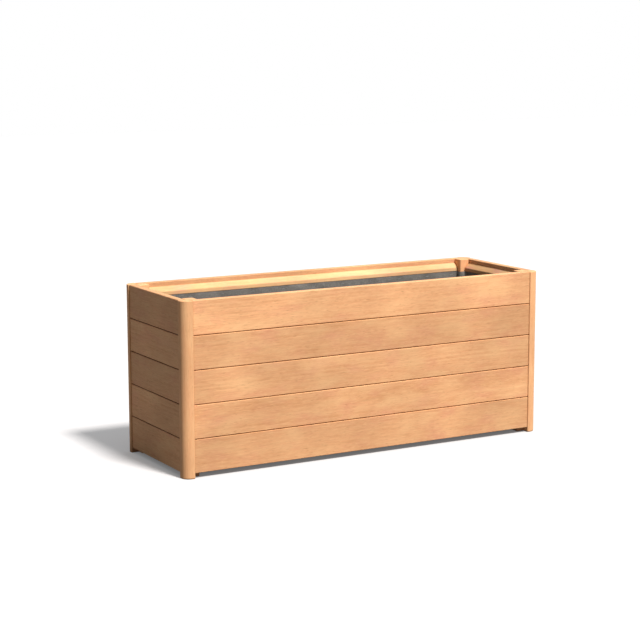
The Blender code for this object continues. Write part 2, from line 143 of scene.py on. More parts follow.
def layered(tree: Tree, ground: Colour | Socket, layers: Sequence[tuple[Socket, str]]) -> Socket:
    """Lay colours over a ground, one on top of the other.

    Args:
        tree: The material's nodes.
        ground: The colour below them all.
        layers: Each layer's share at every place, and its hex colour.

    Returns:
        The colour that shows.
    """
    colour = ground
    for share, code in layers:
        mixed = add(tree, "Mix", {0: share, MIX_A: colour, MIX_B: linear(code)}, data_type="RGBA")
        colour = mixed.outputs[MIX_RESULT]
    return colour


def new_material(name: str) -> tuple[bpy.types.Material, Tree, Node]:
    """Start a material.

    Args:
        name: What the finish is, in plain words.

    Returns:
        The material, its node tree and its Principled shader.
    """
    material = bpy.data.materials.new(name)
    material.use_nodes = True
    tree = material.node_tree
    return material, tree, tree.nodes["Principled BSDF"]


def select_only(piece: Piece) -> None:
    """Make one object the selected and active one.

    Args:
        piece: The object.
    """
    bpy.ops.object.select_all(action="DESELECT")
    piece.select_set(True)
    bpy.context.view_layer.objects.active = piece


def edit(piece: Piece, wanted: Callable[[Vector, Vector], bool]) -> None:
    """Go into edit mode with chosen faces selected.

    Args:
        piece: The piece to shape.
        wanted: Says of a face's middle and normal whether it is one of them.
    """
    select_only(piece)
    bpy.ops.object.mode_set(mode="EDIT")
    bpy.ops.mesh.select_mode(type="FACE")
    bpy.ops.mesh.select_all(action="DESELECT")
    bpy.ops.object.mode_set(mode="OBJECT")
    for face in piece.data.polygons:
        face.select = wanted(face.center, face.normal)
    bpy.ops.object.mode_set(mode="EDIT")


def repeat(model: Piece, name: str, places: Sequence[Matrix]) -> Piece:
    """Copy a small piece to several places, as one object.

    Args:
        model: The piece at the origin, which is used up.
        name: Name of the whole.
        places: Where the copies go.

    Returns:
        The joined copies.
    """
    bpy.ops.object.select_all(action="DESELECT")
    for place in places:
        copy = model.copy()
        copy.data = model.data.copy()
        copy.data.transform(place)
        bpy.context.scene.collection.objects.link(copy)
        copy.select_set(True)
        bpy.context.view_layer.objects.active = copy
    bpy.ops.object.join()
    whole = bpy.context.active_object
    whole.name = name
    bpy.data.objects.remove(model, do_unlink=True)
    return whole


class Grain(Enum):
    """Which way the fibres of a timber run, as the turn that lays them along X."""

    ALONG_X = (0.0, 0.0, 0.0)
    ALONG_Y = (0.0, 0.0, -math.pi / 2)
    UPRIGHT = (0.0, math.pi / 2, 0.0)


# The walls, each with the grain of the timbers that lie along it
SIDES = {
    "front": Grain.ALONG_X,
    "right": Grain.ALONG_Y,
    "back": Grain.ALONG_X,
    "left": Grain.ALONG_Y,
}


class Cut(Enum):
    """How a board was sawn from the log, as the way from its middle to the log's heart.

    The angle is in degrees from the board's thickness towards its width.
    """

    PLAIN = 12.0
    RIFT = 48.0
    QUARTER = 80.0


@dataclass(frozen=True)
class Sawing:
    """Where in its log one timber was cut, and how it took the oil.

    Attributes:
        grain: Which way its fibres run.
        heart: The log's heart from the timber's middle, across the grain (y and z).
        along: How far up the log it was cut, which sets its figure apart from others.
        tone: Its brightness against the finish's own.
        blush: How far it leans to the pinker heartwood colour, from 0 for not at all.
    """

    grain: Grain
    heart: tuple[float, float]
    along: float
    tone: float
    blush: float

    @classmethod
    def drawn(
        cls, name: str, grain: Grain, cut: Cut, tone: float = 1.0, blush: float = 0.3
    ) -> "Sawing":
        """Draw a timber's place in its log from its own name, the same one each time.

        Args:
            name: The timber's name.
            grain: Which way its fibres run.
            cut: How it was sawn.
            tone: Its brightness against the finish's own.
            blush: How far it leans to the pinker colour.

        Returns:
            The sawing.
        """
        chance = random.Random(name)
        # The saw strays by some degrees, and the heart is 75 to 140 mm away
        angle = math.radians(cut.value + chance.uniform(-8, 8))
        reach = chance.uniform(0.075, 0.140)
        side = chance.choice((-1, 1))
        heart = (reach * math.cos(angle), side * reach * math.sin(angle))
        return cls(grain, heart, chance.uniform(2, 60), tone, blush)


@dataclass(frozen=True)
class Streaks:
    """Clouds drawn out along the grain.

    Attributes:
        per_metre: How many there are in a metre, along and across the grain.
        detail: How many levels of finer clouds they hold.
        bare: Value of the noise where they begin to show.
        full: Value where they show in full.
        ragged: How far their edges are distorted.
    """

    per_metre: Point
    detail: float = 2.0
    bare: float = 0.48
    full: float = 0.72
    ragged: float = 0.0

    def clouds(self, tree: Tree, log: Socket) -> Node:
        """Add the clouds' noise.

        Args:
            tree: The material's nodes.
            log: Coordinates in the log.

        Returns:
            The noise node.
        """
        stretched = add(tree, "VectorMath", {0: log, 1: self.per_metre}, operation="MULTIPLY")
        return add(
            tree, "TexNoise",
            {"Vector": stretched.outputs[0], "Scale": 1.0, "Detail": self.detail,
             "Distortion": self.ragged},
        )

    def between(self, tree: Tree, log: Socket, outside: float, inside: float) -> Socket:
        """Turn the clouds into a value.

        Args:
            tree: The material's nodes.
            log: Coordinates in the log.
            outside: The value where there is no cloud.
            inside: The value where a cloud shows in full.

        Returns:
            The value at each place.
        """
        value = add(
            tree, "MapRange",
            {"Value": self.clouds(tree, log).outputs["Fac"], "From Min": self.bare,
             "From Max": self.full, "To Min": outside, "To Max": inside},
        )
        return value.outputs[0]


# The trunk isn't straight: it leans by some millimetres each half metre
LEAN = Streaks((2.1, 7.0, 7.0))
# Lighter and darker stretches, about 200 mm across
BROAD_TONES = Streaks((4.2, 5.0, 5.0), detail=1.0, bare=0.3, full=0.7)
# Patches about 45 mm across and 100 mm long, over about a third of the timber
PINK_PATCHES = Streaks((10.0, 24.0, 24.0))
YELLOW_PATCHES = Streaks((8.0, 22.0, -22.0))
# Fibre bundles: about 6 mm across and 60 mm long, with finer ones inside
FIBRE_BUNDLES = Streaks((16.0, 160.0, 160.0), detail=4.0, ragged=0.4)
# Single fibres: lines about 1 mm apart and 40 mm long
FIBRE_LINES = Streaks((26.0, 900.0, 900.0), bare=0.3, full=0.7)
# Ray flecks: short bright dashes, 2.5 mm across and 18 mm long
RAY_FLECKS = Streaks((58.0, 400.0, 400.0))
# Open pores: really 0.2 mm wide and 5 mm long, and drawn 1.5 mm by 16 mm so that they show
PORES = Streaks((62.0, 640.0, 640.0), detail=1.0, bare=0.62, full=0.78)


@dataclass(frozen=True)
class OiledHardwood:
    """Planed tropical hardwood under one thin coat of oil.

    It shows fine straight grain with soft mottles that lean to pink or to yellow, and short
    open pores that hold darker oil. The oil leaves it nearly matt.

    Attributes:
        name: The finish's name.
        pale: Colour of the lightest fibres.
        ground: The main colour.
        deep: Colour of the late wood and the streaks.
        heartwood: The pinker colour that some timbers lean to.
        pore: Colour of the open pores.
        joint_oil_and_shade: Colour of the oil that gathers in the joints, which also paints their
            shade.
        deepest_oil_and_shade: How much of that colour the deepest joints take.
        ring: Width of a growth ring in metres.
        contrast: Strength of the figure, one for what the boards have.
        line: Strength of the single fibres' lines.
        mottle: Strength of the broad tones.
        fibres: Share of the fibre bundles in the figure, where the rings are the rest.
        reach: How far the figure is from its middle where it is wholly dark or light.
        yellow: How much of the pale colour the yellower patches take.
        flecks: How much of it the ray flecks take.
        pores: How much of the pores' colour they take.
        swing: How far the trunk leans from straight, along and across the grain.
        nook: Size of the joints and corners in which oil gathers and painted shade is laid.
        openness: How open a place is where the oil and painted shade begin, and where they are
            deepest.
        roughness: Roughness of the dark and of the light figure.
        relief: Height of the grain.
        crisp: Strength of that relief.
        refraction: Index of refraction of the oil.
        shine: Specular level, low under so thin a coat.
    """

    name: str
    pale: str
    ground: str
    deep: str
    heartwood: str
    pore: str
    joint_oil_and_shade: str = "c47e36"
    deepest_oil_and_shade: float = 0.45
    ring: float = 0.0060
    contrast: float = 1.0
    line: float = 0.07
    mottle: float = 0.12
    fibres: float = 0.55
    reach: float = 0.38
    yellow: float = 0.7
    flecks: float = 0.55
    pores: float = 0.45
    swing: Point = (0.0, 0.016, 0.016)
    nook: float = 6 * MILLIMETRE
    openness: tuple[float, float] = (0.97, 0.40)
    roughness: tuple[float, float] = (0.50, 0.62)
    relief: float = 0.25 * MILLIMETRE
    crisp: float = 0.35
    refraction: float = 1.47
    shine: float = 0.08

    def material(self, piece: Piece, sawing: Sawing) -> bpy.types.Material:
        """Make the finish for one timber.

        Args:
            piece: The timber, whose middle the figure is placed from.
            sawing: Where in its log it was cut.

        Returns:
            The material.
        """
        material, tree, shader = new_material(f"{self.name}_{piece.name}")
        log = self.log_space(tree, piece, sawing)
        figure = self.figure(tree, log)
        pores = PORES.between(tree, log, 0.0, self.pores * self.contrast)
        colour = layered(
            tree, self.clear_wood(tree, log, figure, sawing),
            [(self.oil_and_painted_shade(tree), self.joint_oil_and_shade), (pores, self.pore)],
        )
        dark, light = self.roughness
        rough = add(tree, "MapRange", {"Value": figure, "To Min": dark, "To Max": light})
        height = add(tree, "Math", {0: figure, 1: pores}, operation="SUBTRACT")
        bump = add(
            tree, "Bump",
            {"Height": height.outputs[0], "Strength": self.crisp, "Distance": self.relief},
        )
        wire(
            tree, shader,
            {"Base Color": colour, "Roughness": rough.outputs[0], "Normal": bump.outputs[0],
             "IOR": self.refraction, "Specular IOR Level": self.shine},
        )
        return material

    def log_space(self, tree: Tree, piece: Piece, sawing: Sawing) -> Socket:
        """Lay coordinates through the log that a timber was cut from.

        Args:
            tree: The material's nodes.
            piece: The timber.
            sawing: Where in its log it was cut.

        Returns:
            The coordinates: x up the log, y and z across it from its heart.
        """
        low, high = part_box(piece["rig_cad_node"])
        turn = Matrix.Identity(3)
        for axis, angle in zip("XYZ", sawing.grain.value):
            turn = Matrix.Rotation(angle, 3, axis) @ turn
        middle = turn @ ((low + high) / 2)
        place = Vector((sawing.along, *sawing.heart)) - middle
        coordinates = add(tree, "TexCoord", {})
        centred = add(
            tree, "Mapping",
            {"Vector": coordinates.outputs["Object"], "Location": place,
             "Rotation": sawing.grain.value},
        )
        drift = LEAN.clouds(tree, centred.outputs[0])
        swung = add(
            tree, "VectorMath",
            {0: drift.outputs["Color"], 1: self.swing, 2: centred.outputs[0]},
            operation="MULTIPLY_ADD",
        )
        return swung.outputs[0]

    def figure(self, tree: Tree, log: Socket) -> Socket:
        """Draw the growth rings and the fibre bundles.

        Args:
            tree: The material's nodes.
            log: Coordinates in the log.

        Returns:
            Their dark and light, 0 to 1.
        """
        across = add(tree, "VectorMath", {0: log, 1: (0.0, 1.0, 1.0)}, operation="MULTIPLY")
        radius = add(tree, "VectorMath", {0: across.outputs[0]}, operation="LENGTH")
        rings = add(
            tree, "TexNoise",
            {"W": radius.outputs["Value"], "Scale": 1.0 / self.ring, "Detail": 2.0},
            noise_dimensions="1D",
        )
        bundles = FIBRE_BUNDLES.clouds(tree, log)
        both = add(
            tree, "Mix",
            {0: self.fibres, 2: rings.outputs["Fac"], 3: bundles.outputs["Fac"]},
            data_type="FLOAT",
        )
        return both.outputs[0]

    def clear_wood(self, tree: Tree, log: Socket, figure: Socket, sawing: Sawing) -> Socket:
        """Colour the wood between its pores and away from the joints.

        Args:
            tree: The material's nodes.
            log: Coordinates in the log.
            figure: Dark and light of the figure.
            sawing: How the timber was cut and took the oil.

        Returns:
            The colour.
        """
        reach = self.reach / self.contrast
        dark, light = (
            add(tree, "MapRange", {"Value": figure, "From Min": 0.5, "From Max": end})
            for end in (0.5 - reach, 0.5 + reach)
        )
        coloured = layered(
            tree, linear(self.ground),
            [(dark.outputs[0], self.deep),
             (light.outputs[0], self.pale),
             (PINK_PATCHES.between(tree, log, 0.0, 2 * sawing.blush), self.heartwood),
             (YELLOW_PATCHES.between(tree, log, 0.0, self.yellow), self.pale),
             (RAY_FLECKS.between(tree, log, 0.0, self.flecks * self.contrast), self.pale)],
        )
        tone = BROAD_TONES.between(
            tree, log, (1.0 - self.mottle) * sawing.tone, (1.0 + self.mottle) * sawing.tone
        )
        lines = FIBRE_LINES.between(tree, log, 1.0 - self.line, 1.0 + self.line)
        both = add(tree, "Math", {0: tone, 1: lines}, operation="MULTIPLY")
        toned = add(tree, "VectorMath", {0: coloured, "Scale": both.outputs[0]}, operation="SCALE")
        return toned.outputs[0]

    def oil_and_painted_shade(self, tree: Tree) -> Socket:
        """Find where oil gathers and where shade is painted: in the joints and the inner corners.

        Args:
            tree: The material's nodes.

        Returns:
            The share of the joints' colour at each place.
        """
        # Painted shade: the joints' colour goes where ambient occlusion finds a place enclosed,
        # partly standing for oil there
        open_space = add(tree, "AmbientOcclusion", {"Distance": self.nook}, samples=4)
        starts, deepest = self.openness
        share = add(
            tree, "MapRange",
            {"Value": open_space.outputs["AO"], "From Min": starts, "From Max": deepest,
             "To Max": self.deepest_oil_and_shade},
        )
        return share.outputs[0]


# Boards: warm tan, with plain figure and a little oil and painted shade in their joints
BOARD_WOOD = OiledHardwood(
    "oiled_hardwood", pale="f3c18e", ground="e8ae7f", deep="d29565", heartwood="e29f7c",
    pore="a97047",
)
# The end walls' joints take a deeper painted shade, so they draw dark lines also where no sun falls
SHADED_END_BOARD_WOOD = replace(BOARD_WOOD, joint_oil_and_shade="7c3000", deepest_oil_and_shade=0.9)
# Posts: straighter and a little paler, so their rounds look even from top to bottom
POST_WOOD = OiledHardwood(
    "oiled_hardwood_post", pale="f7c491", ground="f1b685", deep="e19f6c",
    heartwood="edac86", pore="b0784c", joint_oil_and_shade="9c5c28", ring=0.0045, contrast=0.8,
)
# Finishing strips: the palest and yellowest timber, which brightens the rim
STRIP_WOOD = OiledHardwood(
    "oiled_hardwood_strip", pale="fbd29d", ground="f4c08a", deep="dca66e",
    heartwood="f0b090", pore="b98050", ring=0.0040, contrast=0.8,
)
# Hidden timber: sawn and left bare, so it is darker and browner, with a strong figure
BASE_WOOD = OiledHardwood(
    "bare_sawn_timber", pale="cfa97c", ground="b98f63", deep="93683f", heartwood="ad8158",
    pore="6b4a2c", ring=0.0050, contrast=1.3,
)


@dataclass(frozen=True)
class Geotextile:
    """Needle-punched polypropylene felt, dark grey.

    Its crossed fibres give a dull, faintly mottled face with a soft bloom where it turns
    from the light.

    Attributes:
        name: The finish's name.
        ground: The main colour.
        fibre: Colour of the fibres that catch the light.
        hollow: Colour of the needle holes.
        clumps: How many fibre clumps there are in a metre.
        holes: How many needle holes.
        clouds: How many thicker and thinner places.
        sunk: How much of the hollows' colour a hole takes.
        uneven: How far the thicker and thinner places stray from the main tone.
        depth: Depth of the holes.
        crisp: Strength of that relief.
        rough: Roughness of the fibres.
        shine: Their specular level.
        bloom: Strength of the bloom.
        bloom_spread: Roughness of the bloom.
    """

    name: str = "needle_punched_geotextile"
    ground: str = "676561"
    fibre: str = "85827e"
    hollow: str = "464543"
    clumps: float = 330.0
    holes: float = 420.0
    clouds: float = 14.0
    sunk: float = 0.6
    uneven: float = 0.12
    depth: float = 0.4 * MILLIMETRE
    crisp: float = 0.5
    rough: float = 0.95
    shine: float = 0.15
    bloom: float = 0.08
    bloom_spread: float = 0.6

    def material(self) -> bpy.types.Material:
        """Make the felt.

        Returns:
            The material.
        """
        material, tree, shader = new_material(self.name)
        place = add(tree, "TexCoord", {}).outputs["Object"]
        # Fibre clumps of about 3 mm, with finer ones inside
        clumps = add(
            tree, "TexNoise",
            {"Vector": place, "Scale": self.clumps, "Detail": 4.0, "Roughness": 0.7},
        )
        lit = add(
            tree, "MapRange",
            {"Value": clumps.outputs["Fac"], "From Min": 0.45, "From Max": 0.72},
        )
        # Needle holes really lie about 1 mm apart, and are drawn 2.4 mm apart so that they show
        punched = add(tree, "TexVoronoi", {"Vector": place, "Scale": self.holes, "Randomness": 0.8})
        holes = add(
            tree, "MapRange",
            {"Value": punched.outputs["Distance"], "From Min": 0.30, "From Max": 0.05,
             "To Max": self.sunk},
        )
        felt = layered(
            tree, linear(self.ground),
            [(lit.outputs[0], self.fibre), (holes.outputs[0], self.hollow)],
        )
        cloudy = add(tree, "TexNoise", {"Vector": place, "Scale": self.clouds, "Detail": 3.0})
        density = add(
            tree, "MapRange",
            {"Value": cloudy.outputs["Fac"], "From Min": 0.3, "From Max": 0.7,
             "To Min": 1.0 - self.uneven, "To Max": 1.0 + self.uneven},
        )
        toned = add(tree, "VectorMath", {0: felt, "Scale": density.outputs[0]}, operation="SCALE")
        height = add(
            tree, "Math", {0: clumps.outputs["Fac"], 1: holes.outputs[0]}, operation="SUBTRACT"
        )
        bump = add(
            tree, "Bump",
            {"Height": height.outputs[0], "Strength": self.crisp, "Distance": self.depth},
        )
        wire(
            tree, shader,
            {"Base Color": toned.outputs[0], "Normal": bump.outputs[0], "Roughness": self.rough,
             "Specular IOR Level": self.shine, "Sheen Weight": self.bloom,
             "Sheen Roughness": self.bloom_spread},
        )
        return material


@dataclass(frozen=True)
class ZincPlate:
    """Zinc plate on steel: a cool grey gloss, a little cloudy.

    Attributes:
        name: The finish's name.
        bright: Colour of the plate where it is bright.
        dull: Colour where it has gone dull.
        smooth: Roughness of the bright places.
        rough: Roughness of the dull ones.
        clouds: How many dull clouds there are in a metre.
    """

    name: str
    bright: str = "c3c5c9"
    dull: str = "94979b"
    smooth: float = 0.30
    rough: float = 0.50
    clouds: float = 480.0

    def material(self) -> bpy.types.Material:
        """Make the finish.

        Returns:
            The material.
        """
        material, tree, shader = new_material(self.name)
        place = add(tree, "TexCoord", {}).outputs["Object"]
        # Clouds of dull zinc, about 2 mm across
        clouds = add(tree, "TexNoise", {"Vector": place, "Scale": self.clouds, "Detail": 3.0})
        dulled = add(
            tree, "MapRange",
            {"Value": clouds.outputs["Fac"], "From Min": 0.40, "From Max": 0.65},
        )
        colour = layered(tree, linear(self.bright), [(dulled.outputs[0], self.dull)])
        gloss = add(
            tree, "MapRange",
            {"Value": dulled.outputs[0], "To Min": self.smooth, "To Max": self.rough},
        )
        wire(tree, shader, {"Base Color": colour, "Roughness": gloss.outputs[0], "Metallic": 1.0})
        return material


def dress_timber(name: str, wood: OiledHardwood, sawing: Sawing) -> None:
    """Give a CAD timber its finish and report it.

    Args:
        name: The node's name.
        wood: The finish.
        sawing: Where in its log it was cut.
    """
    piece = frame["nodes"][name]
    finish = wood.material(piece, sawing)
    piece.data.materials.clear()
    piece.data.materials.append(finish)
    LOG.info("dressed %s in %s", name, finish.name)


@dataclass
class Walls:
    """The boards of the four sides, with tones and cuts from the lowest row up."""

    rows: int = 5
    front_tones: tuple[float, ...] = (0.94, 1.02, 0.94, 0.965, 1.08)
    side_tones: tuple[float, ...] = (0.97, 1.03, 0.93, 1.03, 0.96)
    cuts: tuple[Cut, ...] = (Cut.RIFT, Cut.PLAIN, Cut.QUARTER, Cut.RIFT, Cut.QUARTER)

    def dress(self) -> None:
        """Give each board its own timber."""
        walls = {
            "front": (BOARD_WOOD, self.front_tones),
            "right": (SHADED_END_BOARD_WOOD, self.side_tones),
            "back": (BOARD_WOOD, self.side_tones[::-1]),
            "left": (SHADED_END_BOARD_WOOD, self.side_tones),
        }
        for number, (side, (wood, tones)) in enumerate(walls.items()):
            for row in range(self.rows):
                name = f"{side}_board_{row + 1}"
                cut = self.cuts[(row + 2 * number) % len(self.cuts)]
                dress_timber(name, wood, Sawing.drawn(name, SIDES[side], cut, tones[row]))


@dataclass
class Posts:
    """The four corner posts, whose rounded outer corners shade smoothly.

    Attributes:
        corners: Where they stand.
        tones: Their brightness, in that order.
        blush: How far they lean to the pinker colour.
        weld: How near two corners of their triangles are joined.
        smooth_below: Sharpest edge that still shades smoothly, in degrees.
    """

    corners: tuple[str, ...] = ("front_left", "front_right", "back_right", "back_left")
    tones: tuple[float, ...] = (1.05, 1.02, 1.02, 0.98)
    blush: float = 0.1
    weld: float = 0.01 * MILLIMETRE
    smooth_below: float = 20.0

    def dress(self) -> None:
        """Give each post its timber and a smooth round."""
        for corner, tone in zip(self.corners, self.tones):
            name = f"post_{corner}"
            sawing = Sawing.drawn(name, Grain.UPRIGHT, Cut.RIFT, tone, self.blush)
            dress_timber(name, POST_WOOD, sawing)
            self.smooth(frame["nodes"][name])

    def smooth(self, post: Piece) -> None:
        """Join the loose triangles for shading, and keep the arrises crisp.

        Args:
            post: The post.
        """
        weld = post.modifiers.new("join", "WELD")
        weld.merge_threshold = self.weld
        split = post.modifiers.new("arrises", "EDGE_SPLIT")
        split.split_angle = math.radians(self.smooth_below)
        post.data.polygons.foreach_set("use_smooth", [True] * len(post.data.polygons))


@dataclass
class Strips:
    """The sloped finishing strips inside the rim, in the order of the sides."""

    # The right strip's low tone is painted shade: its slope faces away from the light
    tones: tuple[float, ...] = (1.00, 0.65, 0.93, 0.90)
    blushes: tuple[float, ...] = (0.3, 1.2, 0.3, 0.3)

    def dress(self) -> None:
        """Give each strip its timber."""
        for (side, grain), tone, blush in zip(SIDES.items(), self.tones, self.blushes):
            name = f"{side}_rim_strip"
            dress_timber(name, STRIP_WOOD, Sawing.drawn(name, grain, Cut.QUARTER, tone, blush))


@dataclass
class Base:
    """Bearers, slats and battens: bare timber that the cloth hides from above."""

    slats: int = 11

    def dress(self) -> None:
        """Give each hidden timber its own figure."""
        timbers = [(f"{side}_bearer", grain, Cut.RIFT) for side, grain in SIDES.items()]
        timbers += [(f"{side}_batten", Grain.UPRIGHT, Cut.PLAIN) for side in ("front", "back")]
        for number in range(1, self.slats + 1):
            timbers.append((f"base_slat_{number:02d}", Grain.ALONG_Y, Cut.RIFT))
        for name, grain, cut in timbers:
            dress_timber(name, BASE_WOOD, Sawing.drawn(name, grain, cut))


@dataclass(frozen=True)
class Chamber:
    """The space that the cloth lines, read off the frame, from the box's middle.

    Attributes:
        length: To the end boards' inner faces.
        width: To the long boards' inner faces.
        post_x: To the posts' inner blocks along the box.
        post_y: To the posts' inner blocks across the box.
        tail: How far the strips' set-back tails stand in from the boards.
        batten_half: Half a batten's width.
        batten_y: To a batten's face.
        batten_head: Height of a batten's top.
        floor: Height of the slats' top.
        lip: Height of the step over the tails, where the cloth's edge lies.
        tail_foot: Height of the tails' lower edge.
    """

    length: float
    width: float
    post_x: float
    post_y: float
    tail: float
    batten_half: float
    batten_y: float
    batten_head: float
    floor: float
    lip: float
    tail_foot: float

    @classmethod
    def measured(cls) -> "Chamber":
        """Read the places off the CAD nodes.

        Returns:
            The chamber.
        """
        batten_low, batten_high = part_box("back_batten")
        post_low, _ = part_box("post_back_right")
        strip_low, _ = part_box("back_rim_strip")
        corners = [vertex.co for vertex in frame["nodes"]["back_rim_strip"].data.vertices]
        near = 0.5 * MILLIMETRE
        # The strip's nose stands furthest in, and its tail is set back, up to a step
        nose = [at.z for at in corners if at.y < strip_low.y + near]
        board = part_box("back_board_3")[0].y
        tail = [at.y for at in corners if strip_low.z + near < at.z < min(nose) - 3 * near]
        step = [at.z for at in corners if abs(at.y - min(tail)) < near]
        return cls(
            length=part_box("right_board_3")[0].x,
            width=board,
            post_x=post_low.x,
            post_y=post_low.y,
            tail=board - min(tail),
            batten_half=(batten_high.x - batten_low.x) / 2,
            batten_y=batten_low.y,
            batten_head=batten_high.z,
            floor=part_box("base_slat_05")[1].z,
            lip=max(step),
            tail_foot=strip_low.z,
        )


def rule(stops: Sequence[float], cell: float) -> list[float]:
    """Lines through every stop, the gaps between them filled about one cell apart.

    Args:
        stops: Places that get a line, in rising order.
        cell: The distance wanted between lines.

    Returns:
        All the lines.
    """
    lines = [stops[0]]
    for low, high in zip(stops, stops[1:]):
        count = max(1, round((high - low) / cell))
        lines += [low + (high - low) * step / count for step in range(1, count + 1)]
    return lines


def ease(share: np.ndarray) -> np.ndarray:
    """Ease from 0 to 1."""
    share = np.clip(share, 0.0, 1.0)
    return share * share * (3 - 2 * share)


@dataclass
class Screws:
    """Countersunk screws, each with its head down in the round recess of its timber.

    Attributes:
        recess: Radius of the recesses.
        slip: How far a measured radius may be from that.
        radius: Radius of a head.
        height: Height of a head above the recess's floor.
        lift: How far it stays off that floor.
        socket: Radius of its star-shaped socket.
        socket_depth: Depth of the socket.
        waist: Radius of the star's inner corners, as a share of its outer ones.
        arris: Size of the bevel round a head.
        sides: Sides of a head, two for each point of the star.
    """

    recess: float = 4.6 * MILLIMETRE
    slip: float = 0.02 * MILLIMETRE
    radius: float = 4.4 * MILLIMETRE
    height: float = 0.65 * MILLIMETRE
    lift: float = 0.05 * MILLIMETRE
    socket: float = 2.2 * MILLIMETRE
    socket_depth: float = 0.45 * MILLIMETRE
    waist: float = 0.70
    arris: float = 0.20 * MILLIMETRE
    sides: int = 12

    def build(self) -> None:
        """Give each kind of timber its screws."""
        groups = {"post_": "board_screws", "_bearer": "bearer_screws",
                  "base_slat_": "slat_screws", "_batten": "batten_screws"}
        finish = ZincPlate("zinc_plated_screws").material()
        for word, group in groups.items():
            places = [
                place for name, node in frame["nodes"].items() if word in name
                for place in self.recesses(node)
            ]
            heads = repeat(self.head(), group, places)
            heads.data.materials.append(finish)
            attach(heads, BODY)
            LOG.info("made %s, %d heads", group, len(places))

    def recesses(self, timber: Piece) -> list[Matrix]:
        """Find a timber's screw recesses.

        The floor of a recess is cut in triangles, and each one's corners lie on a circle of
        the recess's own radius.

        Args:
            timber: The CAD node.

        Returns:
            The middle of each recess's floor, with z out of the timber.
        """
        found = {}
        corners = timber.data.vertices
        for face in timber.data.polygons:
            a, b, c = (corners[index].co for index in face.vertices)
            u, v = a - c, b - c
            normal = u.cross(v)
            if normal.length < MILLIMETRE * MILLIMETRE:
                continue
            arm = (v * u.length_squared - u * v.length_squared).cross(normal)
            arm /= 2 * normal.length_squared
            if abs(arm.length - self.recess) > self.slip:
                continue
            middle = c + arm
            key = tuple(round(value / MILLIMETRE) for value in middle)
            turn = face.normal.to_track_quat("Z", "Y").to_matrix().to_4x4()
            found[key] = Matrix.Translation(middle) @ turn
        return [found[key] for key in sorted(found)]

    def head(self) -> Piece:
        """Model one head at the origin, facing up.

        Returns:
            The head.
        """
        middle = self.lift + self.height / 2
        bpy.ops.object.select_all(action="DESELECT")
        bpy.ops.mesh.primitive_cylinder_add(
            vertices=self.sides, radius=self.radius, depth=self.height,
            location=(0.0, 0.0, middle),
        )
        head = bpy.context.active_object
        bpy.ops.object.transform_apply(location=True, rotation=True, scale=True)
        edit(head, lambda centre, normal: normal.z > FACING)
        bpy.ops.mesh.bevel(offset=self.arris, segments=1, affect="EDGES")
        bpy.ops.object.mode_set(mode="OBJECT")
        edit(head, lambda centre, normal: normal.z > FACING and centre.z > middle)
        bpy.ops.mesh.inset(thickness=self.radius - self.arris - self.socket)
        bpy.ops.mesh.extrude_region_move(
            TRANSFORM_OT_translate={"value": (0.0, 0.0, -self.socket_depth)}
        )
        bpy.ops.mesh.select_mode(type="VERT")
        bpy.ops.mesh.select_all(action="DESELECT")
        bpy.ops.object.mode_set(mode="OBJECT")
        # Every second corner of the socket goes in, which makes it a star
        for corner in head.data.vertices:
            step = round(math.atan2(corner.co.y, corner.co.x) / math.tau * self.sides)
            near = corner.co.xy.length < (self.socket + self.radius) / 2
            corner.select = near and step % 2 == 0
        bpy.ops.object.mode_set(mode="EDIT")
        bpy.ops.transform.resize(
            value=(self.waist, self.waist, 1.0), center_override=(0.0, 0.0, 0.0)
        )
        bpy.ops.object.mode_set(mode="OBJECT")
        return head


@dataclass
class Staples:
    """The wire staples that hold the cloth's edge to the strips and to the posts.

    Attributes:
        crown: Width of a staple.
        wire: Width and thickness of its flattened wire.
        leg: How far its legs go in.
        arris: Size of the wire's rounded edges.
    """

    crown: float = 11.0 * MILLIMETRE
    wire: tuple[float, float] = (0.95 * MILLIMETRE, 0.65 * MILLIMETRE)
    leg: float = 7.0 * MILLIMETRE
    arris: float = 0.16 * MILLIMETRE

    def build(self, places: Sequence[Matrix]) -> Piece:
        """Make the staples.

        Args:
            places: Points on the cloth's face, with x along the staple and z off the cloth.

        Returns:
            All the staples.
        """
        staples = repeat(self.staple(), "liner_staples", places)
        staples.data.materials.append(ZincPlate("galvanised_wire", dull="85888c").material())
        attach(staples, BODY)
        LOG.info("made liner_staples, %d of them", len(places))
        return staples

    def staple(self) -> Piece:
        """Model one staple at the origin.

        Returns:
            The staple: a crown along x with a leg down from each end.
        """
        wide, thick = self.wire
        bpy.ops.object.select_all(action="DESELECT")
        bpy.ops.mesh.primitive_cube_add(
            size=1.0, location=(0.0, 0.0, thick / 2), scale=(self.crown, wide, thick)
        )
        staple = bpy.context.active_object
        bpy.ops.object.transform_apply(location=True, rotation=True, scale=True)
        inner = self.crown / 2 - thick
        bpy.ops.object.mode_set(mode="EDIT")
        for side in (-1, 1):
            bpy.ops.mesh.select_all(action="SELECT")
            bpy.ops.mesh.bisect(plane_co=(side * inner, 0.0, 0.0), plane_no=(1.0, 0.0, 0.0))
        bpy.ops.object.mode_set(mode="OBJECT")
        edit(staple, lambda centre, normal: normal.z < -FACING and abs(centre.x) > inner)
        bpy.ops.mesh.extrude_region_move(TRANSFORM_OT_translate={"value": (0.0, 0.0, -self.leg)})
        bpy.ops.object.mode_set(mode="OBJECT")
        rounded = staple.modifiers.new("rounded", "BEVEL")
        rounded.width = self.arris
        rounded.segments = 1
        bpy.ops.object.modifier_apply(modifier=rounded.name)
        return staple


# How the felt hangs: stiff for a cloth, and soon at rest
HANG = {
    "quality": 6,
    "mass": 0.15,
    "air_damping": 3.0,
    "tension_stiffness": 25.0,
    "compression_stiffness": 25.0,
    "shear_stiffness": 12.0,
    "bending_stiffness": 6.0,
}


